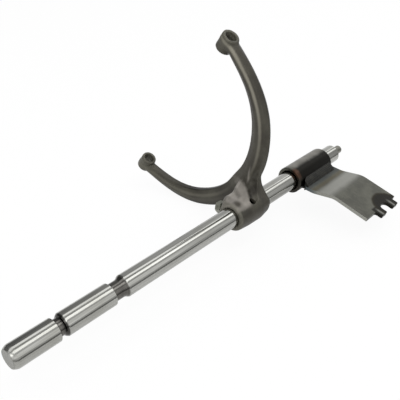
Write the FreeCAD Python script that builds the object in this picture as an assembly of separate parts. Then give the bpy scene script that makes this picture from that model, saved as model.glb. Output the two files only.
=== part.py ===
import FreeCAD, Part
import math
import os
from FreeCAD import Vector

# Shift rail with its forged fork and welded selector lever, all sizes in mm.
# X runs along the rail from its flat front end, Z is up, and the lever points to -Y.

# Rail, with the stations measured along X from the flat front end
RAIL_D = 19.05
CROWN_LENGTH = 5.0
CROWN_FACE_R = 7.6
GROOVE_1_START = 37.4
GROOVE_1_FLOOR_LENGTH = 4.8
GROOVE_1_FLOOR_R = 7.05
GROOVE_1_WALL_R = 8.3
GROOVE_1_END = 44.5
GROOVE_1_BEVEL_RUN = 1.6
GROOVE_2_START = 87.9
GROOVE_2_FLOOR_LENGTH = 8.4
GROOVE_2_FLOOR_R = 7.5
GROOVE_2_SWEEP_R = 7.0
GROOVE_2_SWEEP_DEG = 40.0
GROOVE_2_END = 101.6
GROOVE_EDGE = 0.4
RAIL_TAIL = 23.2
RAIL_END_CHAMFER = 1.0
PILOT_D = 8.8
PILOT_LENGTH = 15.0
PILOT_EDGE = 1.2

# Fork hub, turned about the rail
FORK_ROLL = 35.8
HUB_START = 230.8
HUB_LENGTH = 43.0
HUB_FACE_R = 12.6
HUB_RIM_R = 14.1
HUB_RIM_RUN = 1.8
HUB_SHOULDER_R = 15.1
HUB_CREST_R = 15.35
HUB_END_R = 13.3
HUB_SHOULDER_SHARE = 0.33
HUB_CREST_SHARE = 0.72
SLIP_FIT = 0.03
BORE_CHAMFER = 0.4

# Fork arms: throat circle and the plane the arms lean in
ARM_PLANE_SETBACK = 1.5
ARM_PLANE_HEIGHT = 30.0
ARM_LEAN = 3.1
THROAT_R = 96.0
THROAT_BOTTOM = 34.0

# Sections along each arm: angle, gap to the throat circle, width, half thickness
STATION_DEG = (0.0, 8.0, 16.0, 28.0, 42.0, 56.0, 68.0, 76.0, 82.0)
STATION_GAP = (-0.4, 0.6, 1.0, 0.7, 0.3, -1.1, -2.7, -2.5, -0.6)
STATION_WIDTH = (25.5, 21.8, 20.3, 18.9, 16.9, 14.5, 13.1, 11.5, 9.1)
STATION_HALF = (5.8, 5.8, 5.8, 5.8, 5.8, 5.8, 5.9, 6.5, 7.6)
INNER_FLAT_HALF = 3.2
INNER_CREST_SHARE = 0.3
OUTER_CREST_SHARE = 0.6
OUTER_DRAFT_WIDTH = 2.2
OUTER_DRAFT_DROP = 1.4
PARTING_HALF = 0.7

# Shield round the hub's far end that flares into the arms, as (across, up) pairs
SHIELD_THICKNESS = 6.2
SHIELD_EDGE_R = 2.0
SHIELD_OUTLINE = (
    (0.0, -13.6),
    (7.2, -12.0),
    (12.8, -8.0),
    (14.2, -3.2),
    (15.4, 1.5),
    (17.6, 7.4),
    (22.8, 13.6),
    (31.1, 17.9),
)
SHIELD_TOP = 24.0
FLARE_R = 13.0
FLARE_STEPS = 4

# Eyes at the tips of the arms
EYE_DROP = 12.8
EYE_OVERHANG = 7.7
EYE_THICKNESS = 8.0
EYE_D = 16.6
EYE_BOSS_D = 16.0
EYE_BOSS_LENGTH = 16.0
EYE_BORE_D = 10.0
EYE_EDGE = 0.8
EYE_BORE_CHAMFER = 0.5

# Stations of the web from the hub's rim up to the arms' front faces
WEB_INSET = (2.2, 7.4, 18.2, 27.7, 41.5)
WEB_TOP = (16.5, 18.9, 18.9, 23.1, 28.0)
WEB_OFFSET = (3.5, 3.5, 3.7, 4.2, 5.0)
WEB_TOP_HALF = (3.5, 2.5, 2.5, 2.5, 2.5)
WEB_FOOT_HALF = (8.0, 8.0, 8.0, 8.0, 7.5)
WEB_FLOOR = 6.0
WEB_HOLLOW = 0.55

# Scooped pocket beside the web: the line its round cutter follows, as (height, side) pairs
POCKET_R = 6.0
POCKET_TOP_INSET = 30.6
POCKET_TOP = (14.7, 18.1)
POCKET_FOOT_INSET = 25.4
POCKET_FOOT = (1.7, 19.4)

# Cross hole through hub and rail, and the set screw on its boss
CROSS_HOLE_INSET = 22.0
CROSS_HOLE_D = 6.5
SCREW_INSET = 15.2
SCREW_DEG = -49.0
SCREW_BOSS_D = 14.0
SCREW_SEAT = 19.6
SCREW_D = 6.35
SCREW_AF = 11.1
SCREW_HEAD_HEIGHT = 6.2
SCREW_COLLAR_D = 9.4
SCREW_COLLAR_HEIGHT = 1.6
SCREW_POINT_D = 4.6
SCREW_POINT_DEPTH = 1.6
SCREW_HEAD_BEVEL = 0.2
SCREW_BEVEL_RISE = 1.9

# Selector sleeve beyond the fork
SLEEVE_GAP = 51.1
SLEEVE_LENGTH = 59.4
SLEEVE_D = 27.6
SLEEVE_EDGE = 0.8
SLEEVE_LEAD = 1.5

# Lever plate: top surface from root to end in the Y-Z plane
PLATE_THICKNESS = 3.6
PLATE_INSET = 3.8
PLATE_WIDTH = 55.9
PLATE_ROOT = (-8.0, -0.9)
PLATE_VALLEY = (-27.0, -2.7)
PLATE_CREST = (-50.5, 0.25)
PLATE_SLOPE_DEG = 15.2
PLATE_END = 38.9
VALLEY_R = 28.0
CREST_R = 20.0
PLATE_ROOT_CORNER_R = 6.5

# Slotted end of the lever, measured from the crest along the slope
SLOT_WIDTH = 12.7
SLOT_INSET = 33.6
SLOT_BOTTOM = 36.4
SLOT_CORNER_R = 4.6
PRONG_WIDTH = 9.9
PRONG_END = 46.3
PRONG_TIP_R = 1.6
PRONG_ROOT_R = 2.4
PLATE_CORNER_R = 0.6

# Fillet welds between plate and sleeve
WELD_INSET = 1.2
WELD_FAR_INSET = 4.6
WELD_TOP_Z = 4.4
WELD_TOP_REACH = 6.4
WELD_UNDER_Z = -9.4
WELD_UNDER_REACH = 5.0
WELD_SAG = 0.7

# Derived sizes
RAIL_R = RAIL_D / 2
BORE_R = RAIL_R + SLIP_FIT
SLEEVE_R = SLEEVE_D / 2
PILOT_R = PILOT_D / 2
SCREW_R = SCREW_D / 2
THROAT_CENTRE = THROAT_BOTTOM + THROAT_R
EYE_HEIGHT = THROAT_CENTRE - EYE_DROP
EYE_OUTER = THROAT_R + EYE_OVERHANG
EYE_BOSS_INNER = EYE_OUTER - EYE_BOSS_LENGTH
HUB_END = HUB_START + HUB_LENGTH
ARM_PLANE_X = HUB_END - ARM_PLANE_SETBACK
SHIELD_START = HUB_END - SHIELD_THICKNESS
CROSS_HOLE_X = HUB_START + CROSS_HOLE_INSET
SCREW_X = HUB_START + SCREW_INSET
SLEEVE_START = HUB_END + SLEEVE_GAP
SLEEVE_END = SLEEVE_START + SLEEVE_LENGTH
RAIL_END = SLEEVE_END + RAIL_TAIL
PILOT_END = RAIL_END + PILOT_LENGTH
PLATE_NEAR_X = SLEEVE_START + PLATE_INSET
PLATE_FAR_X = PLATE_NEAR_X + PLATE_WIDTH
SLOT_CENTRE_X = PLATE_NEAR_X + SLOT_INSET
WELD_START = PLATE_NEAR_X + WELD_INSET
WELD_END = PLATE_FAR_X - WELD_FAR_INSET
ORIGIN = Vector(0, 0, 0)
ALONG_RAIL = Vector(1, 0, 0)
UPWARD = Vector(0, 0, 1)
TOOL_OVERRUN = 5.0
TOOL_HEIGHT = 60.0


def line(start, end):
    """A straight edge between two points given as (along, out) pairs."""
    return Part.makeLine(Vector(*start, 0), Vector(*end, 0))


def arc(centre, radius, start_deg, end_deg):
    """An arc in the profile plane, drawn anticlockwise."""
    circle = Part.Circle(Vector(*centre, 0), Vector(0, 0, 1), radius)
    return Part.ArcOfCircle(circle, math.radians(start_deg), math.radians(end_deg)).toShape()


def face_of(edges):
    """A face from edges that close on themselves."""
    return Part.Face(Part.Wire(Part.__sortEdges__(edges)))


def polygon(points):
    """A closed wire through points."""
    return Part.makePolygon(list(points) + [points[0]])


def turned(edges):
    """A solid turned about the rail's axis from a half profile."""
    return face_of(edges).revolve(ORIGIN, ALONG_RAIL, 360)


def turned_points(points):
    """A solid turned about the rail's axis from straight edges."""
    closed = list(points) + [points[0]]
    return turned([line(a, b) for a, b in zip(closed, closed[1:])])


def bar(radius, base, direction, length):
    """A round bar from a base point."""
    return Part.makeCylinder(radius, length, base, direction)


def edges_near(shape, test):
    """The edges of a shape whose middle passes a test."""
    return [edge for edge in shape.Edges if test(edge.CenterOfMass, edge)]


def rail_solid():
    """The ground rail with crowned end, two grooves and pilot."""
    drop = RAIL_R - CROWN_FACE_R
    crown_r = (CROWN_LENGTH ** 2 + drop ** 2) / (2 * drop)
    crown_start = 90 + math.degrees(math.asin(CROWN_LENGTH / crown_r))
    sweep = math.radians(GROOVE_2_SWEEP_DEG)
    floor_1_end = GROOVE_1_START + GROOVE_1_FLOOR_LENGTH
    wall_1 = GROOVE_1_END - GROOVE_1_BEVEL_RUN
    floor_2_end = GROOVE_2_START + GROOVE_2_FLOOR_LENGTH
    sweep_x = floor_2_end + GROOVE_2_SWEEP_R * math.sin(sweep)
    sweep_r = GROOVE_2_FLOOR_R + GROOVE_2_SWEEP_R * (1 - math.cos(sweep))
    edges = [
        line((0, 0), (0, CROWN_FACE_R)),
        arc((CROWN_LENGTH, RAIL_R - crown_r), crown_r, 90, crown_start),
        line((CROWN_LENGTH, RAIL_R), (GROOVE_1_START - GROOVE_EDGE, RAIL_R)),
        line((GROOVE_1_START - GROOVE_EDGE, RAIL_R), (GROOVE_1_START, RAIL_R - GROOVE_EDGE)),
        line((GROOVE_1_START, RAIL_R - GROOVE_EDGE), (GROOVE_1_START, GROOVE_1_FLOOR_R)),
        line((GROOVE_1_START, GROOVE_1_FLOOR_R), (floor_1_end, GROOVE_1_FLOOR_R)),
        line((floor_1_end, GROOVE_1_FLOOR_R), (wall_1, GROOVE_1_WALL_R)),
        line((wall_1, GROOVE_1_WALL_R), (GROOVE_1_END, RAIL_R)),
        line((GROOVE_1_END, RAIL_R), (GROOVE_2_START - GROOVE_EDGE, RAIL_R)),
        line((GROOVE_2_START - GROOVE_EDGE, RAIL_R), (GROOVE_2_START, RAIL_R - GROOVE_EDGE)),
        line((GROOVE_2_START, RAIL_R - GROOVE_EDGE), (GROOVE_2_START, GROOVE_2_FLOOR_R)),
        line((GROOVE_2_START, GROOVE_2_FLOOR_R), (floor_2_end, GROOVE_2_FLOOR_R)),
        arc((floor_2_end, GROOVE_2_FLOOR_R + GROOVE_2_SWEEP_R), GROOVE_2_SWEEP_R,
            -90, -90 + GROOVE_2_SWEEP_DEG),
        line((sweep_x, sweep_r), (GROOVE_2_END, RAIL_R)),
        line((GROOVE_2_END, RAIL_R), (RAIL_END - RAIL_END_CHAMFER, RAIL_R)),
        line((RAIL_END - RAIL_END_CHAMFER, RAIL_R), (RAIL_END, RAIL_R - RAIL_END_CHAMFER)),
        line((RAIL_END, RAIL_R - RAIL_END_CHAMFER), (RAIL_END, PILOT_R)),
        line((RAIL_END, PILOT_R), (PILOT_END - PILOT_EDGE, PILOT_R)),
        line((PILOT_END - PILOT_EDGE, PILOT_R), (PILOT_END, PILOT_R - PILOT_EDGE)),
        line((PILOT_END, PILOT_R - PILOT_EDGE), (PILOT_END, 0)),
        line((PILOT_END, 0), (0, 0)),
    ]
    return turned(edges)


def arm_section(angle_deg, inner, width, half):
    """One ridged section of the arms, in the plane through the throat's centre line."""
    angle = math.radians(angle_deg)
    out = Vector(0, -math.cos(angle), math.sin(angle))
    centre = Vector(ARM_PLANE_X, THROAT_CENTRE, 0)
    outer = inner + width
    ring = (
        (inner, INNER_FLAT_HALF),
        (inner + INNER_CREST_SHARE * width, half),
        (inner + OUTER_CREST_SHARE * width, half),
        (outer - OUTER_DRAFT_WIDTH, half - OUTER_DRAFT_DROP),
        (outer, PARTING_HALF),
    )
    near = [centre + out * radius + Vector(-offset, 0, 0) for radius, offset in ring]
    far = [centre + out * radius + Vector(offset, 0, 0) for radius, offset in reversed(ring)]
    return polygon(near + far)


def arms_solid():
    """Both arms as one smooth body from tip to tip."""
    upper = [
        (angle, THROAT_R + gap, width, half)
        for angle, gap, width, half in zip(STATION_DEG, STATION_GAP, STATION_WIDTH, STATION_HALF)
    ]
    lower = [(-angle, *rest) for angle, *rest in reversed(upper[1:])]
    return Part.makeLoft([arm_section(*station) for station in lower + upper], True, False)


def eye_solid(side):
    """The round eye and inward boss at one tip."""
    inward = Vector(0, 0, -side)
    face_outer = Vector(ARM_PLANE_X, EYE_HEIGHT, side * EYE_OUTER)
    eye = bar(EYE_D / 2, face_outer, inward, EYE_THICKNESS)
    eye = eye.makeChamfer(EYE_EDGE, edges_near(eye, lambda c, e: e.Closed))
    boss = bar(EYE_BOSS_D / 2, face_outer, inward, EYE_OUTER - EYE_BOSS_INNER)
    boss = boss.makeChamfer(EYE_EDGE, edges_near(boss, lambda c, e: e.Closed))
    return eye.fuse(boss)


def eye_bore(side):
    """The bore through one tip with a small lead at both faces."""
    outer = Vector(ARM_PLANE_X, EYE_HEIGHT, side * EYE_OUTER)
    inner = Vector(ARM_PLANE_X, EYE_HEIGHT, side * EYE_BOSS_INNER)
    bore_r = EYE_BORE_D / 2
    lead_r = bore_r + EYE_BORE_CHAMFER
    inward = Vector(0, 0, -side)
    bore = bar(bore_r, outer, inward, EYE_OUTER - EYE_BOSS_INNER)
    lead_out = Part.makeCone(lead_r, bore_r, EYE_BORE_CHAMFER, outer, inward)
    lead_in = Part.makeCone(lead_r, bore_r, EYE_BORE_CHAMFER, inner, inward * -1)
    return bore.fuse([lead_out, lead_in])


def web_section(inset, top, offset, top_half, foot_half):
    """One section of the web with hollow flanks."""
    middle = (top + WEB_FLOOR) / 2
    brow = top - top_half / 2
    mid_half = WEB_HOLLOW * (foot_half + top_half) / 2 + (1 - WEB_HOLLOW) * top_half
    ring = [(WEB_FLOOR, -foot_half), (middle, -mid_half), (brow, -top_half), (top, 0),
            (brow, top_half), (middle, mid_half), (WEB_FLOOR, foot_half)]
    return polygon([Vector(HUB_START + inset, up, offset + side) for up, side in ring])


def web_solid():
    """The web as straight runs between its stations."""
    stations = zip(WEB_INSET, WEB_TOP, WEB_OFFSET, WEB_TOP_HALF, WEB_FOOT_HALF)
    return Part.makeLoft([web_section(*station) for station in stations], True, True)


def pocket_cutter():
    """The round-ended cutter that scoops the pocket."""
    top = Vector(HUB_START + POCKET_TOP_INSET, *POCKET_TOP)
    foot = Vector(HUB_START + POCKET_FOOT_INSET, *POCKET_FOOT)
    channel = bar(POCKET_R, foot, top - foot, (top - foot).Length)
    return channel.fuse([Part.makeSphere(POCKET_R, end) for end in (top, foot)])


def shield_prism(start_x, end_x):
    """The shield's outline carried along the rail between two stations."""
    half = [Vector(start_x, up, across) for across, up in SHIELD_OUTLINE]
    mirrored = [Vector(v.x, v.y, -v.z) for v in reversed(half[1:])]
    edge = Part.BSplineCurve()
    edge.interpolate(mirrored + half)
    top = Vector(start_x, SHIELD_TOP, 0)
    outline = [edge.toShape(), Part.makeLine(half[-1], top), Part.makeLine(top, mirrored[0])]
    return face_of(outline).extrude(ALONG_RAIL * (end_x - start_x))


def shield_solid():
    """The shield in the arms' plane, with a cove that runs down to the hub."""
    shield = shield_prism(SHIELD_START, HUB_END)
    rims = edges_near(shield, lambda c, e: e.Length > 2 * SHIELD_TOP and abs(c.z) < 1)
    shield = shield.makeFillet(SHIELD_EDGE_R, rims)
    cove_start = SHIELD_START - FLARE_R
    cove_end = SHIELD_START + SHIELD_EDGE_R
    rim_r = HUB_CREST_R + FLARE_R
    sweep = [math.radians(90 * step / FLARE_STEPS) for step in range(FLARE_STEPS + 1)]
    cove = turned_points(
        [(cove_start, 0)]
        + [(cove_start + FLARE_R * math.sin(a), rim_r - FLARE_R * math.cos(a)) for a in sweep]
        + [(cove_end, rim_r), (cove_end, 0)]
    )
    return shield.fuse(cove.common(shield_prism(cove_start, cove_end)))


def fork_solid():
    """The forged fork with its hub, arms, eyes, web, boss and holes."""
    hub = turned_points([
        (HUB_START, HUB_FACE_R),
        (HUB_START + HUB_RIM_RUN, HUB_RIM_R),
        (HUB_START + HUB_SHOULDER_SHARE * HUB_LENGTH, HUB_SHOULDER_R),
        (HUB_START + HUB_CREST_SHARE * HUB_LENGTH, HUB_CREST_R),
        (HUB_END, HUB_END_R),
        (HUB_END, 0),
        (HUB_START, 0),
    ])
    screw_axis = screw_direction()
    boss = bar(SCREW_BOSS_D / 2, Vector(SCREW_X, 0, 0), screw_axis, SCREW_SEAT)
    arms = arms_solid().fuse([eye_solid(1), eye_solid(-1)]).cut([eye_bore(1), eye_bore(-1)])
    arms.rotate(Vector(ARM_PLANE_X, ARM_PLANE_HEIGHT, 0), Vector(0, 0, 1), ARM_LEAN)
    body = hub.fuse([arms, shield_solid(), web_solid(), boss])
    bore = turned_points([
        (HUB_START, 0),
        (HUB_START, BORE_R + BORE_CHAMFER),
        (HUB_START + BORE_CHAMFER, BORE_R),
        (HUB_END - BORE_CHAMFER, BORE_R),
        (HUB_END, BORE_R + BORE_CHAMFER),
        (HUB_END + TOOL_OVERRUN, BORE_R + BORE_CHAMFER),
        (HUB_END + TOOL_OVERRUN, 0),
    ])
    screw_hole = bar(SCREW_R, Vector(SCREW_X, 0, 0), screw_axis, SCREW_SEAT)
    hole = cross_hole(2 * (HUB_CREST_R + TOOL_OVERRUN))
    cut = body.cut([bore, screw_hole, hole, pocket_cutter()])
    return cut.removeSplitter()


def screw_direction():
    """The way the set screw points out of the hub, in the fork's own plane."""
    angle = math.radians(SCREW_DEG)
    return Vector(0, math.cos(angle), math.sin(angle))


def cross_hole(length):
    """The pin hole square to the rail and to the fork's centre line."""
    start = Vector(CROSS_HOLE_X, 0, -length / 2)
    return bar(CROSS_HOLE_D / 2, start, UPWARD, length)


def screw_solid():
    """The hex set screw with collar, shank and dog point."""
    out = screw_direction()
    foot = Vector(SCREW_X, 0, 0)
    head_base = SCREW_SEAT + SCREW_COLLAR_HEIGHT
    corner_r = SCREW_AF / math.sqrt(3)
    side = ALONG_RAIL
    across = out.cross(side)
    corners = []
    for step in range(6):
        turn = math.radians(60 * step)
        spoke = side * math.cos(turn) + across * math.sin(turn)
        corners.append(foot + out * head_base + spoke * corner_r)
    head = Part.Face(polygon(corners)).extrude(out * SCREW_HEAD_HEIGHT)
    top = foot + out * (head_base + SCREW_HEAD_HEIGHT)
    bevel_r = SCREW_AF / 2 - SCREW_HEAD_BEVEL
    trim_r = bevel_r + SCREW_BEVEL_RISE * SCREW_HEAD_HEIGHT
    head = head.common(Part.makeCone(bevel_r, trim_r, SCREW_HEAD_HEIGHT, top, out * -1))
    collar = bar(SCREW_COLLAR_D / 2, foot + out * SCREW_SEAT, out, SCREW_COLLAR_HEIGHT)
    shank_start = RAIL_R + SLIP_FIT
    shank = bar(SCREW_R, foot + out * shank_start, out, SCREW_SEAT - shank_start)
    shank = shank.cut(bar(BORE_R, Vector(SCREW_X - SCREW_D, 0, 0), ALONG_RAIL, 2 * SCREW_D))
    point_start = RAIL_R - SCREW_POINT_DEPTH
    point = bar(SCREW_POINT_D / 2, foot + out * point_start, out, SCREW_SEAT - point_start)
    return head.fuse([collar, shank, point]).removeSplitter()


def screw_dimple():
    """The spot in the rail that takes the screw's point."""
    out = screw_direction()
    start = Vector(SCREW_X, 0, 0) + out * (RAIL_R - SCREW_POINT_DEPTH)
    return bar(SCREW_POINT_D / 2, start, out, 2 * SCREW_POINT_DEPTH)


def sleeve_solid():
    """The plain sleeve that carries the lever."""
    return turned_points([
        (SLEEVE_START, BORE_R + SLEEVE_LEAD),
        (SLEEVE_START, SLEEVE_R - SLEEVE_EDGE),
        (SLEEVE_START + SLEEVE_EDGE, SLEEVE_R),
        (SLEEVE_END - SLEEVE_EDGE, SLEEVE_R),
        (SLEEVE_END, SLEEVE_R - SLEEVE_EDGE),
        (SLEEVE_END, BORE_R + SLEEVE_LEAD),
        (SLEEVE_END - SLEEVE_LEAD, BORE_R),
        (SLEEVE_START + SLEEVE_LEAD, BORE_R),
    ])


def slope_point(distance):
    """A point on the lever's last flat, from the crest down the slope."""
    slope = math.radians(PLATE_SLOPE_DEG)
    return (PLATE_CREST[0] - distance * math.cos(slope), PLATE_CREST[1] - distance * math.sin(slope))


def offset_line(points, thickness):
    """The same bent line moved down by the plate's thickness."""
    vectors = [Vector(y, z, 0) for y, z in points]
    normals = []
    for a, b in zip(vectors, vectors[1:]):
        way = (b - a).normalize()
        normals.append(Vector(-way.y, way.x, 0))
    moved = [vectors[0] + normals[0] * thickness]
    for here, before, after in zip(vectors[1:], normals, normals[1:]):
        moved.append(here + (before + after) * (thickness / (1 + before.dot(after))))
    moved.append(vectors[-1] + normals[-1] * thickness)
    return [(v.x, v.y) for v in moved]


def bent_edges(points, radii):
    """Straight runs joined by bends, standing in the Y-Z plane."""
    vectors = [Vector(0, y, z) for y, z in points]
    edges = []
    start = vectors[0]
    for before, here, after, radius in zip(vectors, vectors[1:], vectors[2:], radii):
        back = (before - here).normalize()
        onward = (after - here).normalize()
        half = back.getAngle(onward) / 2
        reach = radius / math.tan(half)
        into = here + back * reach
        out = here + onward * reach
        centre_way = (back + onward).normalize()
        middle = here + centre_way * (radius / math.sin(half) - radius)
        edges.append(Part.makeLine(start, into))
        edges.append(Part.Arc(into, middle, out).toShape())
        start = out
    edges.append(Part.makeLine(start, vectors[-1]))
    return edges


def rounded_outline(points, radii):
    """A closed face in the X-Y plane with a radius at each corner."""
    count = len(points)
    vectors = [Vector(x, y, 0) for x, y in points]
    starts, bends = [], []
    for index in range(count):
        here = vectors[index]
        back = (vectors[index - 1] - here).normalize()
        onward = (vectors[(index + 1) % count] - here).normalize()
        radius = radii[index]
        half = back.getAngle(onward) / 2
        reach = radius / math.tan(half)
        middle = here + (back + onward).normalize() * (radius / math.sin(half) - radius)
        starts.append((here + back * reach, here + onward * reach))
        bends.append(middle)
    edges = []
    for index in range(count):
        into, out = starts[index]
        if radii[index] > 0:
            edges.append(Part.Arc(into, bends[index], out).toShape())
        edges.append(Part.makeLine(out, starts[(index + 1) % count][0]))
    return Part.Face(Part.Wire(edges))


def end_outline():
    """Plan of the lever's slotted end: X across, Y down the slope from the crest."""
    near_slot = SLOT_CENTRE_X - SLOT_WIDTH / 2
    far_slot = SLOT_CENTRE_X + SLOT_WIDTH / 2
    near_prong = near_slot - PRONG_WIDTH
    far_prong = far_slot + PRONG_WIDTH
    corners = [
        (PLATE_NEAR_X, 0, 0),
        (PLATE_NEAR_X, PLATE_END, PLATE_CORNER_R),
        (near_prong, PLATE_END, PRONG_ROOT_R),
        (near_prong, PRONG_END, PRONG_TIP_R),
        (near_slot, PRONG_END, PRONG_TIP_R),
        (near_slot, SLOT_BOTTOM, SLOT_CORNER_R),
        (far_slot, SLOT_BOTTOM, SLOT_CORNER_R),
        (far_slot, PRONG_END, PRONG_TIP_R),
        (far_prong, PRONG_END, PRONG_TIP_R),
        (far_prong, PLATE_END, PLATE_CORNER_R),
        (PLATE_FAR_X, PLATE_END, PLATE_CORNER_R),
        (PLATE_FAR_X, 0, 0),
    ]
    return rounded_outline([c[:2] for c in corners], [c[2] for c in corners])


def plate_solid():
    """The bent lever plate with its slotted end."""
    top = [PLATE_ROOT, PLATE_VALLEY, PLATE_CREST, slope_point(PRONG_END + TOOL_OVERRUN)]
    under = offset_line(top, PLATE_THICKNESS)
    edges = bent_edges(top, [VALLEY_R, CREST_R + PLATE_THICKNESS])
    edges += bent_edges(under, [VALLEY_R + PLATE_THICKNESS, CREST_R])
    edges.append(Part.makeLine(Vector(0, *top[0]), Vector(0, *under[0])))
    edges.append(Part.makeLine(Vector(0, *top[-1]), Vector(0, *under[-1])))
    strip = face_of(edges).extrude(ALONG_RAIL * (PLATE_FAR_X - PLATE_NEAR_X))
    strip.translate(ALONG_RAIL * PLATE_NEAR_X)
    span = PLATE_FAR_X - PLATE_NEAR_X + 2 * TOOL_OVERRUN
    window = Part.makeBox(span, PRONG_END, TOOL_HEIGHT,
                          Vector(PLATE_NEAR_X - TOOL_OVERRUN, TOOL_OVERRUN, -TOOL_HEIGHT / 2))
    keep = end_outline().extrude(UPWARD * TOOL_HEIGHT)
    keep.translate(UPWARD * (-TOOL_HEIGHT / 2))
    trim = window.cut(keep)
    trim.rotate(ORIGIN, ALONG_RAIL, 180)
    trim.rotate(ORIGIN, ALONG_RAIL, PLATE_SLOPE_DEG)
    trim.translate(Vector(0, *PLATE_CREST))
    return strip.cut([trim, root_corner(), sleeve_envelope()])


def root_corner():
    """The room outside the plate's rounded root corner, as a cutting tool."""
    root_y = -math.sqrt(SLEEVE_R ** 2 - PLATE_ROOT[1] ** 2)
    base = Vector(PLATE_NEAR_X, root_y - PLATE_ROOT_CORNER_R, -SLEEVE_R)
    block = Part.makeBox(PLATE_ROOT_CORNER_R, SLEEVE_R, SLEEVE_D, base)
    axis = base + ALONG_RAIL * PLATE_ROOT_CORNER_R
    return block.cut(bar(PLATE_ROOT_CORNER_R, axis, UPWARD, SLEEVE_D))


def sleeve_envelope():
    """The sleeve's outer surface as a cutting tool, longer than the sleeve."""
    start = Vector(SLEEVE_START - TOOL_OVERRUN, 0, 0)
    return bar(SLEEVE_R, start, ALONG_RAIL, SLEEVE_END - SLEEVE_START + 2 * TOOL_OVERRUN)


def weld_bead(sleeve_z, reach, plate_side, sag):
    """One fillet weld laid in the corner between plate and sleeve."""
    sleeve_y = -math.sqrt(SLEEVE_R ** 2 - sleeve_z ** 2)
    toe = Vector(WELD_START, -SLEEVE_R - reach, plate_side(-SLEEVE_R - reach))
    head = Vector(WELD_START, sleeve_y, sleeve_z)
    inner = Vector(WELD_START, -SLEEVE_R / 2, plate_side(-SLEEVE_R) - sag)
    middle = (toe + head) * 0.5
    across = (toe - head).cross(ALONG_RAIL).normalize()
    middle = middle + across * sag
    profile = [Part.Arc(head, middle, toe).toShape(),
               Part.makeLine(toe, inner), Part.makeLine(inner, head)]
    bead = face_of(profile).extrude(ALONG_RAIL * (WELD_END - WELD_START))
    return bead


def weld_solid(plate):
    """Upper and lower welds, cut to the sleeve and the plate they join."""
    slope = (PLATE_VALLEY[1] - PLATE_ROOT[1]) / (PLATE_VALLEY[0] - PLATE_ROOT[0])

    def plate_top(y):
        return PLATE_ROOT[1] + slope * (y - PLATE_ROOT[0])

    def plate_under(y):
        return plate_top(y) - PLATE_THICKNESS * math.sqrt(1 + slope ** 2)

    upper = weld_bead(WELD_TOP_Z, WELD_TOP_REACH, plate_top, WELD_SAG)
    lower = weld_bead(WELD_UNDER_Z, WELD_UNDER_REACH, plate_under, -WELD_SAG)
    beads = [bead.cut([root_corner(), sleeve_envelope(), plate]) for bead in (upper, lower)]
    return Part.makeCompound(beads)


os.makedirs("parts", exist_ok=True)

fork = fork_solid()
screw = screw_solid()
for shape in (fork, screw):
    shape.rotate(ORIGIN, ALONG_RAIL, FORK_ROLL)
holes = screw_dimple().fuse(cross_hole(RAIL_D + TOOL_OVERRUN))
holes.rotate(ORIGIN, ALONG_RAIL, FORK_ROLL)
rail = rail_solid().cut(holes)
plate = plate_solid()

for name, shape in (
    ("shift_rail", rail),
    ("shift_fork", fork),
    ("fork_set_screw", screw),
    ("selector_sleeve", sleeve_solid()),
    ("lever_plate", plate),
    ("lever_weld", weld_solid(plate)),
):
    shape.exportStep("parts/" + name + ".step")
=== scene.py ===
import bpy
import math
from mathutils import Matrix, Vector


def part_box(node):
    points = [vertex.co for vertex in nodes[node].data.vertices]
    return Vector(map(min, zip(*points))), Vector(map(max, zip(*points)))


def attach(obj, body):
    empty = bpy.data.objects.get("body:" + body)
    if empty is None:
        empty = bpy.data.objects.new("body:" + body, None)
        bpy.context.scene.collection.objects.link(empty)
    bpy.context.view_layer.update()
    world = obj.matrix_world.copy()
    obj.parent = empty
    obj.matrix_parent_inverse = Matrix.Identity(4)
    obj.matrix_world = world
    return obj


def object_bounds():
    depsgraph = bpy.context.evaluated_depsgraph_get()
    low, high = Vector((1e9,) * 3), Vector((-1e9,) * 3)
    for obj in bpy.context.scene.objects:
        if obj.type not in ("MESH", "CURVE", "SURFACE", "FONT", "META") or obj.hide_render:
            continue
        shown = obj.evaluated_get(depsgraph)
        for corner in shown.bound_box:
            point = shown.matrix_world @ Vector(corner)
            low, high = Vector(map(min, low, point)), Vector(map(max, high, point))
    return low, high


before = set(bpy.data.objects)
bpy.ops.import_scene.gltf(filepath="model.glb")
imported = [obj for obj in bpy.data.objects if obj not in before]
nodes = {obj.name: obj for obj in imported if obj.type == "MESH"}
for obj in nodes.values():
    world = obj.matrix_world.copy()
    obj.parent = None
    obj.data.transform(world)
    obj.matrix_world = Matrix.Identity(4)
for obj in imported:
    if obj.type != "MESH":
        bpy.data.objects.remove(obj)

from types import SimpleNamespace

cad_low, cad_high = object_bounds()

MM = 0.001


def corners(node):
    """Lowest and highest corner of a CAD node, in millimetres."""
    return [[value / MM for value in corner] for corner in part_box(node)]


# Places that the materials follow, in millimetres; the rail runs along X through the origin
rail_high = corners("shift_rail")[1]
plate_low = corners("lever_plate")[0]
RAIL_R = rail_high[1]
GROOVE_1_END = 44.5
PILOT_LENGTH = 15.0
PILOT_START = rail_high[0] - PILOT_LENGTH
HUB_START = corners("shift_fork")[0][0]
SLEEVE_START = corners("selector_sleeve")[0][0]
PLATE_START = plate_low[0]
PRONG_END = plate_low[1]
SLOT_INSET = 33.6
SLOT_WIDTH = 12.7
PRONG_WIDTH = 9.9

# The fork is turned about the rail, and its arms lean back from the hub
ROLL = math.radians(35.8)
LEAN = math.radians(3.1)
FORK_UP = (0, math.cos(ROLL), math.sin(ROLL))
FORK_SIDE = (0, -math.sin(ROLL), math.cos(ROLL))
ARM_PLANE_INSET = 41.5
ARM_PLANE_HEIGHT = 30.0
THROAT_R = 96.0
THROAT_CENTRE = 130.0
EYE_REACH = 100.0

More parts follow.
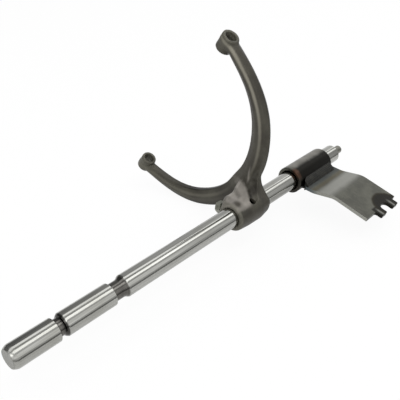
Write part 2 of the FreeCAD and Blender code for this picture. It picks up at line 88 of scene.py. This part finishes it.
# Stations along an arm: degrees round the throat, gap to its circle, width
ARM_STATIONS = ((0, -0.4, 25.5), (8, 0.6, 21.8), (16, 1.0, 20.3), (28, 0.7, 18.9),
                (42, 0.3, 16.9), (56, -1.1, 14.5), (68, -2.7, 13.1), (82, -0.6, 9.1))
INNER_CREST_SHARE = 0.3
OUTER_CREST_SHARE = 0.6


def linear(r, g, b):
    """An sRGB colour of 0 to 255 as linear values."""
    def one(c):
        c /= 255
        return c / 12.92 if c <= 0.04045 else ((c + 0.055) / 1.055) ** 2.4
    return (one(r), one(g), one(b), 1)


def math_node(tree, operation, *values):
    """A Math node's result; each value is a number or a socket."""
    made = tree.nodes.new("ShaderNodeMath")
    made.operation = operation
    for value, socket in zip(values, made.inputs):
        if isinstance(value, (int, float)):
            socket.default_value = value
        else:
            tree.links.new(value, socket)
    return made.outputs[0]


class Paint:
    """A node material on one Principled shader. Positions are in millimetres."""

    def __init__(self, name, rough, metallic=0.0, specular=0.5):
        self.mat = bpy.data.materials.new(name)
        self.mat.use_nodes = True
        self.tree = self.mat.node_tree
        self.shader = self.tree.nodes["Principled BSDF"]
        self.shader.inputs["Roughness"].default_value = rough
        self.shader.inputs["Metallic"].default_value = metallic
        self.shader.inputs["Specular IOR Level"].default_value = specular
        self.coords = self.node("ShaderNodeTexCoord").outputs["Object"]
        self.height = None

    def node(self, kind, **settings):
        made = self.tree.nodes.new(kind)
        for key, value in settings.items():
            setattr(made, key, value)
        return made

    def link(self, out, into):
        self.tree.links.new(out, into)

    def set(self, name, value):
        self.link(value, self.shader.inputs[name])

    def surface(self, shader):
        """Makes a shader the material's surface."""
        self.link(shader.outputs[0], self.tree.nodes["Material Output"].inputs["Surface"])

    def number(self, operation, *values):
        return math_node(self.tree, operation, *values)

    def plus(self, a, b):
        return self.number("ADD", a, b)

    def less(self, a, b):
        return self.number("SUBTRACT", a, b)

    def times(self, *values):
        """The product of numbers and sockets."""
        result = values[0]
        for value in values[1:]:
            result = self.number("MULTIPLY", result, value)
        return result

    def most(self, a, b):
        return self.number("MAXIMUM", a, b)

    def size(self, a):
        return self.number("ABSOLUTE", a)

    def distance(self, a, b):
        """Length of the line whose two legs are a and b."""
        return self.number("SQRT", self.plus(self.times(a, a), self.times(b, b)))

    def degrees(self, across, ahead):
        """Angle of a direction, in degrees."""
        return self.times(self.number("ARCTAN2", across, ahead), 180 / math.pi)

    def band(self, value, low, high):
        """0 below low, 1 above high, smooth between; reversed if low is above high."""
        made = self.node("ShaderNodeMapRange", interpolation_type="SMOOTHSTEP")
        flip = low > high
        made.inputs["From Min"].default_value = min(low, high)
        made.inputs["From Max"].default_value = max(low, high)
        made.inputs["To Min"].default_value = 1.0 if flip else 0.0
        made.inputs["To Max"].default_value = 0.0 if flip else 1.0
        self.link(value, made.inputs["Value"])
        return made.outputs["Result"]

    def curve(self, value, stops):
        """A number that follows straight lines through (value, result) stops."""
        result = None
        for (x0, y0), (x1, y1) in zip(stops, stops[1:]):
            made = self.node("ShaderNodeMapRange")
            made.inputs["From Min"].default_value = x0
            made.inputs["From Max"].default_value = x1
            made.inputs["To Min"].default_value = y0 if result is None else 0.0
            made.inputs["To Max"].default_value = y1 if result is None else y1 - y0
            self.link(value, made.inputs["Value"])
            out = made.outputs["Result"]
            result = out if result is None else self.plus(result, out)
        return result

    def mix(self, fac, a, b):
        """Colour a where fac is 0 and colour b where it is 1."""
        made = self.node("ShaderNodeMix", data_type="RGBA")
        for name, value in (("A", a), ("B", b)):
            socket = [s for s in made.inputs if s.name == name and s.type == "RGBA"][0]
            if isinstance(value, tuple):
                socket.default_value = value
            else:
                self.link(value, socket)
        self.link(fac, [s for s in made.inputs if s.name == "Factor" and s.type == "VALUE"][0])
        return [s for s in made.outputs if s.type == "RGBA"][0]

    def stretched(self, sx, sy, sz):
        """Coordinates for noise, scaled along each axis."""
        made = self.node("ShaderNodeMapping")
        made.inputs["Scale"].default_value = (sx, sy, sz)
        self.link(self.coords, made.inputs["Vector"])
        return made.outputs[0]

    def noise(self, scale, detail=3.0, rough=0.55, coords=None):
        made = self.node("ShaderNodeTexNoise")
        made.inputs["Scale"].default_value = scale
        made.inputs["Detail"].default_value = detail
        made.inputs["Roughness"].default_value = rough
        self.link(coords or self.coords, made.inputs["Vector"])
        return made.outputs["Fac"]

    def stray(self, noise, amount):
        """Noise of 0 to 1 as a wander to both sides, amount from end to end."""
        return self.times(self.less(noise, 0.5), amount)

    def dot(self, vector, direction):
        made = self.node("ShaderNodeVectorMath", operation="DOT_PRODUCT")
        made.inputs[1].default_value = direction
        self.link(vector, made.inputs[0])
        return made.outputs["Value"]

    def along(self, direction):
        """Position along a direction."""
        return self.dot(self.coords, [part / MM for part in direction])

    def place(self):
        """Position along X, Y and Z."""
        return [self.along(axis) for axis in ((1, 0, 0), (0, 1, 0), (0, 0, 1))]

    def facing(self, direction):
        """1 where the surface faces a direction, and -1 where it faces away."""
        return self.dot(self.node("ShaderNodeNewGeometry").outputs["Normal"], direction)

    def edges(self, low, high):
        """1 on edges that stick out, or in hollow corners where low is above high."""
        return self.band(self.node("ShaderNodeNewGeometry").outputs["Pointiness"], low, high)

    def bump(self, height, distance, strength):
        """Adds small relief, its depth in millimetres, on top of the relief so far."""
        made = self.node("ShaderNodeBump")
        made.inputs["Strength"].default_value = strength
        made.inputs["Distance"].default_value = distance * MM
        self.link(height, made.inputs["Height"])
        if self.height is not None:
            self.link(self.height, made.inputs["Normal"])
        self.height = made.outputs[0]
        self.link(self.height, self.shader.inputs["Normal"])


def ground_steel():
    """Bright ground rail with lengthwise wear, groove floors painted darker as shade, a painted shadow
    on the first groove's far wall, and a duller pilot.
    """
    p = Paint("ground_rail", 0.13, metallic=1.0)
    x, y, z = p.place()
    radius = p.distance(y, z)
    grind = p.noise(900, 4, 0.65, p.stretched(0.02, 1, 1))
    cloud = p.noise(45, 3)
    rings = p.noise(1400, 2, 0.5, p.stretched(1, 0.02, 0.02))

    end_face = p.band(x, 0.6, 0.2)
    crown = p.band(x, 5.5, 3.0)
    groove = p.times(p.band(radius, RAIL_R - 0.225, RAIL_R - 0.925), p.band(x, 4.5, 6.0))
    # Painted shadow on the far wall of the first groove
    far_wall_shadow = p.times(p.band(radius, RAIL_R - 0.075, RAIL_R - 0.525),
                       p.band(x, GROOVE_1_END - 4.3, GROOVE_1_END - 2.5),
                       p.band(x, GROOVE_1_END + 0.7, GROOVE_1_END + 0.1))
    pilot = p.band(x, PILOT_START - 1.0, PILOT_START - 0.3)

    base = p.mix(p.band(grind, 0.3, 0.7), linear(149, 149, 144), linear(173, 173, 169))
    base = p.mix(p.times(p.band(cloud, 0.5, 0.75), 0.25), base, linear(137, 136, 127))
    # Groove floors painted darker: painted shade in the grooves, over turning rings
    shaded_groove_floor = p.mix(p.band(rings, 0.4, 0.65), linear(79, 77, 74), linear(94, 92, 88))
    base = p.mix(p.times(groove, 0.92), base, shaded_groove_floor)
    base = p.mix(pilot, base, linear(121, 120, 113))
    base = p.mix(p.times(far_wall_shadow, 0.7), base, linear(34, 34, 32))
    base = p.mix(p.times(end_face, 0.8), base, linear(142, 142, 137))
    p.set("Base Color", base)

    rough = p.plus(p.times(grind, 0.08), 0.075)
    for zone, added in ((groove, 0.04), (pilot, 0.15), (crown, 0.10), (end_face, 0.22)):
        rough = p.plus(rough, p.times(zone, added))
    p.set("Roughness", rough)
    p.bump(rings, 0.004, 0.5)
    p.bump(grind, 0.02, 0.35)
    return p.mat


def fork_places(p):
    """Positions on the fork: round the hub, and round the throat in the plane of the arms."""
    at = SimpleNamespace()
    at.inset = p.less(p.place()[0], HUB_START)
    at.side = p.along(FORK_SIDE)
    at.up = p.along(FORK_UP)
    at.hub_turn = p.degrees(at.side, at.up)
    behind = p.less(at.inset, ARM_PLANE_INSET)
    raised = p.less(at.up, ARM_PLANE_HEIGHT)
    leaned = p.plus(p.times(raised, math.cos(LEAN)), p.times(behind, -math.sin(LEAN)))
    at.drop = p.less(THROAT_CENTRE - ARM_PLANE_HEIGHT, leaned)
    at.reach = p.distance(at.side, at.drop)
    at.turn = p.degrees(p.size(at.side), at.drop)
    at.upper = p.band(at.side, -2, 2)
    at.lower = p.less(1.0, at.upper)
    at.front = p.band(behind, 6, 1)
    at.worn = p.noise(150, 4, 0.6)
    return at


def crest(share):
    """Stops of an arm's crest line: degrees round the throat, distance from its centre."""
    return [(turn, THROAT_R + gap + share * width) for turn, gap, width in ARM_STATIONS]


def paint_crest_wear_and_highlights(p, at, base):
    """Lines along both crests of each arm, partly wear and partly painted highlight, brightest on the
    upper arm's outer one where the light falls.
    """
    def line(distance, width):
        away = p.plus(p.size(p.less(at.reach, distance)), p.stray(at.worn, 1.2))
        return p.times(p.band(away, width, 0.3), at.front, p.band(at.turn, 4, 12))

    outer = p.times(line(p.curve(at.turn, crest(OUTER_CREST_SHARE)), 2.4),
                    p.curve(at.turn, ((8, 0.45), (18, 0.42), (30, 0.5), (50, 0.88), (60, 0.95))),
                    p.curve(at.upper, ((0, 0.30), (1, 0.95))))
    inner = p.times(line(p.curve(at.turn, crest(INNER_CREST_SHARE)), 2.6),
                    p.curve(at.upper, ((0, 0.40), (1, 0.06))))
    # Painted highlight and wear along the crests
    base = p.mix(outer, base, linear(144, 140, 127))
    return p.mix(inner, base, linear(117, 114, 102))


def paint_arm_shade_and_highlight(p, at, base):
    """Painted shade on inner walls, sides and roots and in strips beside the crests, a painted
    highlight on the eyes at the tips, and painted shade on faces turned away from the light.
    """
    upper_depth = p.curve(at.turn, ((12, 0), (20, 0.75), (42, 0.75), (60, 0.3), (80, 0.1)))
    lower_depth = p.curve(at.turn, ((12, 0), (20, 0.95), (42, 0.95), (56, 0.1), (80, 0)))
    depth = p.plus(p.times(at.upper, upper_depth), p.times(at.lower, lower_depth))
    ahead = p.facing((1, 0, 0))
    # Painted shade on sides turned towards FORK_SIDE, on the lower arm's inner walls and at the lower
    # arm's root
    flank_shade = p.times(p.band(p.facing(FORK_SIDE), 0.55, 0.9), depth)
    inner_wall_shade = p.times(p.band(p.size(ahead), 0.85, 0.5), at.lower,
                         p.curve(at.turn, ((4, 0.3), (12, 0.95), (40, 0.95), (54, 0.35), (66, 0))))
    root = p.times(p.band(at.side, -8, -14), p.band(at.turn, 24, 14), p.band(at.up, 12, 18), 0.45)
    base = p.mix(p.most(p.most(flank_shade, inner_wall_shade), root), base, linear(33, 31, 26))

    # Painted shade in strips beside the outer crests
    inside = p.less(p.curve(at.turn, crest(OUTER_CREST_SHARE)), at.reach)
    upper_shade_strip = p.times(p.band(inside, 2.2, 4.2), p.band(at.turn, 34, 50), at.upper, at.front)
    lower_shade_strip = p.times(p.band(inside, 3.0, -0.5), p.band(at.turn, 12, 20), at.lower, at.front)
    base = p.mix(p.times(upper_shade_strip, 0.55), base, linear(50, 47, 42))
    base = p.mix(p.times(lower_shade_strip, 0.4), base, linear(50, 48, 42))

    # Painted highlight on the eyes at the tips
    eye = p.distance(p.less(p.size(at.side), EYE_REACH), at.drop)
    base = p.mix(p.times(p.band(eye, 24, 14), 0.45), base, linear(105, 103, 92))
    # Painted shade on faces turned partly towards +X, away from the light
    turned_away_shade = p.times(p.band(ahead, -0.05, 0.30), p.band(ahead, 0.92, 0.65))
    return p.mix(p.times(turned_away_shade, 0.55), base, linear(34, 33, 29))


def paint_hub(p, at, base):
    """A web lighter from wear and painted light above a slanting border, painted shade in the pocket
    beyond it and on the body below, a painted highlight along the ridge by the pocket and on the near
    face's outer edge, and a darker spot.
    """
    worn_and_lit = linear(158, 153, 146)
    slant = p.curve(at.hub_turn, ((0, 36.4), (15, 34.2), (45, 27.6), (75, 20.4), (100, 17.6)))
    border = p.plus(p.less(slant, at.inset), p.stray(at.worn, 3))
    turn = p.plus(at.hub_turn, p.stray(at.worn, 14))
    near_hub = p.band(at.turn, 20, 12)

    hollow = p.times(p.band(p.size(p.less(border, 12.5)), 4.5, 0.5), p.band(turn, 60, 42), 0.5)
    near_edge_fade = p.curve(at.hub_turn, ((10, 0.55), (45, 0.25), (60, 0.5), (85, 0.4), (100, 0.2)))
    near_edge = p.times(p.band(at.inset, 11.7, 7.7), near_edge_fade)
    # The web is painted lighter: partly wear, partly painted light on what faces up
    web = p.times(p.band(border, -2.2, 2.6), p.band(turn, 110, 92), p.band(turn, -12, 4), near_hub,
                  p.curve(at.hub_turn, ((60, 1.0), (80, 0.72))),
                  p.less(1.0, hollow), p.less(1.0, near_edge))
    base = p.mix(p.times(web, 0.85), base, worn_and_lit)

    # Painted shade in the pocket
    pocket = p.times(p.band(border, 1.2, -2.2), p.band(turn, 34, 50), p.band(turn, 88, 66),
                     p.band(at.inset, 39.2, 33.2), near_hub)
    base = p.mix(p.times(pocket, 0.75), base, linear(37, 34, 28))

    # Painted highlight and wear along the ridge at the pocket's edge
    pocket_edge = p.curve(at.up, ((9.3, 12.4), (12.0, 10.9), (16.0, 10.4), (19.4, 12.7),
                                  (21.7, 15.6), (23.7, 18.8), (27.5, 26.2)))
    ridge = p.times(p.band(p.size(p.less(at.side, pocket_edge)), 3.0, 0.3),
                    p.band(at.up, 16.0, 20.5), p.band(at.up, 28.5, 23.5),
                    p.band(at.inset, 19.2, 22.2), at.front)
    base = p.mix(p.times(ridge, 0.42), base, worn_and_lit)

    # Painted shade on the body below
    below = p.times(p.band(turn, 98, 106), p.band(turn, 134, 118), p.band(at.inset, 18.2, 12.2),
                    near_hub)
    base = p.mix(p.times(below, 0.45), base, linear(46, 45, 40))
    # Painted highlight on the rounded outer edge of the hub's near face
    rim_highlight = p.band(at.inset, 3.0, 1.4)
    base = p.mix(p.times(rim_highlight, 0.5), base, linear(117, 115, 104))
    # A darker spot near the hub's near face
    dark_spot = p.distance(p.times(p.less(at.inset, 5.4), 1 / 3.8), p.times(p.less(turn, 68), 1 / 22))
    return p.mix(p.times(p.band(dark_spot, 1.15, 0.3), 0.75), base, linear(56, 52, 45))


def forging():
    """Dark forging scale, worn bright and with painted highlights on the arms' crests and the web,
    with painted shade in the pocket, in hollow corners and on faces turned from the light.
    """
    p = Paint("forged_fork", 0.42, metallic=0.35, specular=0.3)
    at = fork_places(p)
    grain = p.noise(900, 5, 0.65)
    fine = p.noise(2600, 2, 0.5)
    patch = p.noise(60, 4, 0.6)
    base = p.mix(p.band(patch, 0.35, 0.7), linear(65, 62, 55), linear(78, 76, 67))
    base = p.mix(p.times(p.band(grain, 0.5, 0.75), 0.3), base, linear(100, 96, 86))
    base = paint_crest_wear_and_highlights(p, at, base)
    base = paint_arm_shade_and_highlight(p, at, base)
    base = paint_hub(p, at, base)
    # Convex edges painted lighter: wear and painted highlight
    base = p.mix(p.times(p.edges(0.52, 0.58), 0.5), base, linear(133, 129, 116))
    # Hollow corners painted darker: painted shade
    base = p.mix(p.times(p.edges(0.485, 0.43), 0.8), base, linear(33, 30, 24))
    p.set("Base Color", base)
    p.set("Roughness", p.plus(p.times(patch, 0.2), 0.32))
    p.bump(fine, 0.04, 0.5)
    p.bump(grain, 0.12, 0.5)
    p.bump(patch, 0.4, 0.4)
    return p.mat


def lever_steel():
    """Dull plate with a painted highlight at its bend, its near cut edge lighter as bare metal and
    painted highlight, painted highlights along the prongs, dark at the slot and blue at the weld.
    """
    p = Paint("lever_steel", 0.42, metallic=0.8, specular=0.25)
    x, y, _ = p.place()
    inset = p.less(x, PLATE_START)
    rise = p.less(y, PRONG_END)
    grain = p.noise(600, 4, 0.6, p.stretched(1, 0.12, 1))
    patch = p.noise(70, 3)
    wobble = p.stray(p.noise(90), 3)
    base = p.mix(p.band(patch, 0.35, 0.7), linear(79, 79, 73), linear(93, 93, 85))
    base = p.mix(p.times(p.band(grain, 0.5, 0.72), 0.35), base, linear(109, 107, 98))

    from_slot = p.plus(p.distance(p.less(inset, 38.3), p.less(rise, 4.2)), wobble)
    prongs = p.times(p.band(rise, 12.6, 10.6), p.band(inset, 14.5, 16.5))
    hardened = p.most(p.band(from_slot, 17.4, 15.8), prongs)
    olive_rim = p.times(p.band(from_slot, 18.6, 16.8), p.band(from_slot, 13.6, 15.8))
    base = p.mix(p.times(hardened, 0.95), base, linear(24, 22, 17))
    base = p.mix(p.times(olive_rim, 0.5), base, linear(46, 41, 28))

    wavy = p.plus(y, wobble)
    weld_blue = p.band(y, -29.5, -19)
    bend = p.times(p.band(wavy, -52.5, -43.0), p.band(y, -27.5, -36.0))
    straw = p.times(p.band(wavy, -32.0, -28.5), p.band(y, -23.5, -27.0))
    base = p.mix(p.times(weld_blue, 0.8), base, linear(41, 47, 50))
    # Painted highlight across the bend
    base = p.mix(p.times(bend, 0.95), base, linear(145, 145, 139))
    base = p.mix(p.times(straw, 0.5), base, linear(90, 83, 61))

    # Cut faces turned to -X painted lighter: bare metal with painted highlight, and a bluish painted
    # highlight at the root
    near_cut = p.band(p.facing((-1, 0, 0)), 0.6, 0.8)
    bare_and_lit_cut = p.times(near_cut, p.band(y, -24, -32), p.band(prongs, 1.0, 0.0))
    root_cut_highlight = p.times(near_cut, p.band(y, -34, -26))
    base = p.mix(bare_and_lit_cut, base, linear(151, 151, 144))
    base = p.mix(p.times(root_cut_highlight, 0.6), base, linear(112, 121, 124))

    # Painted highlights along the middle of each prong
    streak_wobble = p.stray(p.noise(420), 1.6)
    for hand in (-1, 1):
        centre = SLOT_INSET + hand * (SLOT_WIDTH + PRONG_WIDTH) / 2
        away = p.plus(p.size(p.less(inset, centre - 1.4)), streak_wobble)
        streak = p.times(p.band(away, 2.0, 0.5), p.band(rise, 11.7, 5.2), p.band(rise, 0.0, 1.2))
        base = p.mix(p.times(streak, 0.6), base, linear(138, 139, 133))
    p.set("Base Color", base)
    p.set("Roughness", p.plus(p.times(grain, 0.15), 0.33))
    p.bump(grain, 0.06, 0.5)
    return p.mat


def sleeve_steel():
    """Oily sleeve, black towards the weld, with a greyer near ring that browns at the side and a
    painted shadow round the rail.
    """
    p = Paint("sleeve_steel", 0.36, metallic=1.0)
    x, y, z = p.place()
    inset = p.less(x, SLEEVE_START)
    grain = p.noise(700, 3, 0.6, p.stretched(3, 0.5, 0.5))
    patch = p.noise(80, 3)
    shade = p.plus(y, p.stray(patch, 3))
    base = p.mix(p.band(patch, 0.35, 0.7), linear(121, 119, 112), linear(138, 136, 130))
    base = p.mix(p.times(p.band(shade, 2.2, -5.2), 0.99), base, linear(24, 23, 20))

    brown = p.times(p.band(z, 3.5, 9.5), p.band(shade, -1.0, -5.0))
    ring = p.mix(p.band(shade, 3.0, -6.0), linear(92, 93, 85), linear(66, 64, 59))
    ring = p.mix(p.times(brown, 0.85), ring, linear(84, 60, 47))
    near = p.band(p.plus(inset, p.stray(p.noise(120), 4)), 6.1, 2.3)
    # Painted shadow in the gap round the rail on the near ring
    bore_shadow = p.band(p.distance(y, z), RAIL_R + 1.375, RAIL_R + 0.775)
    base = p.mix(p.times(near, 0.75), base, ring)
    base = p.mix(p.times(bore_shadow, 0.85), base, linear(20, 19, 15))
    p.set("Base Color", base)
    p.set("Roughness", p.plus(p.times(grain, 0.2), 0.28))
    p.bump(grain, 0.03, 0.4)
    return p.mat


def weld_metal():
    """Dark weld with ripples along its run."""
    p = Paint("weld_metal", 0.42, metallic=0.4, specular=0.2)
    ripple = p.node("ShaderNodeTexWave", wave_type="BANDS", bands_direction="X")
    ripple.inputs["Scale"].default_value = 160
    ripple.inputs["Distortion"].default_value = 3
    ripple.inputs["Detail"].default_value = 2
    p.link(p.coords, ripple.inputs["Vector"])
    patch = p.noise(150, 3)
    p.set("Base Color", p.mix(p.band(patch, 0.4, 0.65), linear(29, 29, 26), linear(46, 45, 40)))
    p.set("Roughness", p.plus(p.times(patch, 0.3), 0.3))
    p.bump(ripple.outputs["Fac"], 0.4, 0.5)
    return p.mat


def zinc():
    """Dulled zinc on the set screw, with painted shade on what faces up."""
    p = Paint("zinc_screw", 0.38, metallic=0.7)
    patch = p.noise(300, 4)
    # Painted shade on the upward faces
    top_shade = p.band(p.facing((0, 0, 1)), 0.4, 0.8)
    base = p.mix(p.band(patch, 0.4, 0.65), linear(129, 131, 119), linear(152, 152, 141))
    base = p.mix(p.times(top_shade, 0.7), base, linear(83, 85, 73))
    p.set("Base Color", base)
    p.set("Roughness", p.plus(p.times(patch, 0.25), 0.28))
    p.bump(patch, 0.05, 0.4)
    return p.mat


def soften_fork(fork):
    """Rounds the forging's edges with a fine skin over the solid."""
    skin = fork.modifiers.new("skin", "REMESH")
    skin.mode = "VOXEL"
    skin.voxel_size = 0.7 * MM
    skin.use_smooth_shade = True
    soften = fork.modifiers.new("soften", "CORRECTIVE_SMOOTH")
    soften.factor = 0.5
    soften.iterations = 5
    soften.use_only_smooth = True


def seen_by(tree):
    """Sockets that are 1 for rays from the camera, and for glossy or transmission rays."""
    rays = tree.nodes.new("ShaderNodeLightPath").outputs
    mirror = math_node(tree, "MAXIMUM", rays["Is Glossy Ray"], rays["Is Transmission Ray"])
    return rays["Is Camera Ray"], mirror


def paper_floor(size=12, camera_glow=0.93, mirror_glow=0.4):
    """A white floor that glows for the camera and in reflections but still takes a shadow."""
    bpy.ops.mesh.primitive_plane_add(size=size, location=(0.2, 0, cad_low[2]))
    floor = bpy.context.object
    floor.name = "floor"
    paper = Paint("paper", 0.9, specular=0.0)
    camera_ray, mirror = seen_by(paper.tree)
    paper.set("Base Color", paper.mix(paper.most(camera_ray, mirror),
                                      (0.62, 0.62, 0.62, 1), (0.95, 0.95, 0.95, 1)))
    glow = paper.node("ShaderNodeEmission")
    glow.inputs["Strength"].default_value = 1.0
    both = paper.node("ShaderNodeMixShader")
    amount = paper.most(paper.times(camera_ray, camera_glow), paper.times(mirror, mirror_glow))
    paper.link(amount, both.inputs[0])
    paper.link(paper.shader.outputs[0], both.inputs[1])
    paper.link(glow.outputs[0], both.inputs[2])
    paper.surface(both)
    floor.data.materials.append(paper.mat)


def white_room(light=0.74, shown=1.0):
    """A world that lights the object at one strength and shows as plain white."""
    world = bpy.data.worlds.new("studio")
    bpy.context.scene.world = world
    world.use_nodes = True
    tree = world.node_tree
    room = tree.nodes["Background"]
    backdrop = tree.nodes.new("ShaderNodeBackground")
    for background, strength in ((room, light), (backdrop, shown)):
        background.inputs["Color"].default_value = (1, 1, 1, 1)
        background.inputs["Strength"].default_value = strength
    both = tree.nodes.new("ShaderNodeMixShader")
    tree.links.new(math_node(tree, "MAXIMUM", *seen_by(tree)), both.inputs[0])
    tree.links.new(room.outputs[0], both.inputs[1])
    tree.links.new(backdrop.outputs[0], both.inputs[2])
    tree.links.new(both.outputs[0], tree.nodes["World Output"].inputs["Surface"])


def area_lamp(name, length, width, radiance):
    """A rectangular lamp of an even radiance; its sides are in metres."""
    data = bpy.data.lights.new(name, "AREA")
    data.shape = "RECTANGLE"
    data.size = length
    data.size_y = width
    data.energy = radiance * math.pi * length * width
    made = bpy.data.objects.new(name, data)
    bpy.context.scene.collection.objects.link(made)
    return made


def spread_width(spread, distance):
    """Width that fills a spread of degrees at a distance."""
    return 2 * distance * math.tan(math.radians(spread / 2))


def beside(made, angle, distance, x, twist=0.0):
    """Places an object facing the rail; the angle runs from straight up towards -Y."""
    angle = math.radians(angle)
    out = Vector((0, -math.sin(angle), math.cos(angle)))
    rail = Vector((1, 0, 0))
    turn = Matrix((rail, out.cross(rail), out)).transposed().to_4x4()
    turn = turn @ Matrix.Rotation(math.radians(twist), 4, "Z")
    made.matrix_world = Matrix.Translation(Vector((x, 0, 0)) + out * distance) @ turn


def lamp(name, angle, spread, radiance, distance=1.4, length=3.6, x=0.9, twist=0.0):
    """A long soft lamp that the rail shows as one streak."""
    made = area_lamp(name, length, spread_width(spread, distance), radiance)
    beside(made, angle, distance, x, twist)


def card(name, angle, spread, glow, distance=1.5, length=5.0, x=0.9):
    """A grey card that only reflections see, its glow set by (X in metres, strength) stops."""
    bpy.ops.mesh.primitive_plane_add(size=1)
    made = bpy.context.object
    made.name = name
    made.scale = (length, spread_width(spread, distance), 1)
    bpy.ops.object.transform_apply(location=False, rotation=False, scale=True)
    beside(made, angle, distance, x)
    paint = Paint(name, 1.0)
    paint.tree.nodes.remove(paint.shader)
    light = paint.node("ShaderNodeEmission")
    stops = [((at - x) / MM, strength) for at, strength in glow]
    paint.link(paint.curve(paint.place()[0], stops), light.inputs["Strength"])
    paint.surface(light)
    made.data.materials.append(paint.mat)
    made.visible_camera = False
    made.visible_diffuse = False
    made.visible_shadow = False
    made.visible_transmission = False


def studio_lights():
    """The lamps, and the cards in the order in which their bands run across the rail."""
    lamp("key", angle=20, spread=20, radiance=1.75, length=2.15, x=0.425, twist=2)
    lamp("key_far", angle=15, spread=18, radiance=1.3, length=0.85, x=1.925, twist=4)
    lamp("top", angle=-17, spread=17, radiance=0.86)
    card("far_side", angle=-60, spread=60,
         glow=((0.45, 0.19), (1.04, 0.58), (1.86, 0.83), (2.3, 0.93), (2.8, 1.05)))
    card("between", angle=1, spread=18.5, glow=((0.0, 0.62), (0.9, 0.62)))
    card("beyond_key", angle=38.5, spread=16, glow=((0.5, 0.80), (1.0, 0.76), (1.8, 0.62), (2.3, 0.5)))
    card("near_side", angle=63, spread=33, glow=((0.5, 1.25), (1.0, 1.18), (1.8, 0.8), (2.3, 0.54)))
    card("low_side", angle=85, spread=11, glow=((0.5, 0.74), (1.8, 0.6), (2.3, 0.5)))
    card("dark_edge", angle=97, spread=15, glow=((0.0, 0.26), (0.9, 0.26)),
         distance=0.145, length=1.4, x=0.35)

    front = area_lamp("front", length=0.5, width=0.4, radiance=2.56)
    away = Vector((-0.73, -0.32, 0.60))
    front.location = away * 1.3
    front.rotation_euler = away.to_track_quat("Z", "Y").to_euler()


def photo_camera():
    """The photograph's camera."""
    camera = bpy.data.objects.new("camera", bpy.data.cameras.new("camera"))
    bpy.context.scene.collection.objects.link(camera)
    camera.data.lens = 51.3
    camera.data.sensor_width = 36
    camera.data.clip_start = 0.01
    place = Vector((-0.1118, -0.2736, 0.2876))
    right = Vector((0.6721, -0.7404, 0.0)).normalized()
    ahead = Vector((0.6312, 0.5730, -0.5228)).normalized()
    upward = right.cross(ahead).normalized()
    turn = Matrix((right, upward, -ahead)).transposed().to_4x4()
    camera.matrix_world = Matrix.Translation(place) @ turn
    bpy.context.scene.camera = camera


materials = {
    "shift_rail": ground_steel,
    "shift_fork": forging,
    "fork_set_screw": zinc,
    "selector_sleeve": sleeve_steel,
    "lever_plate": lever_steel,
    "lever_weld": weld_metal,
}
for name, material in materials.items():
    piece = nodes[name]
    piece.data.materials.clear()
    piece.data.materials.append(material())
    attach(piece, "root")
soften_fork(nodes["shift_fork"])

paper_floor()
white_room()
studio_lights()
photo_camera()

scene = bpy.context.scene
scene.view_settings.view_transform = "Standard"
bpy.context.view_layer.update()
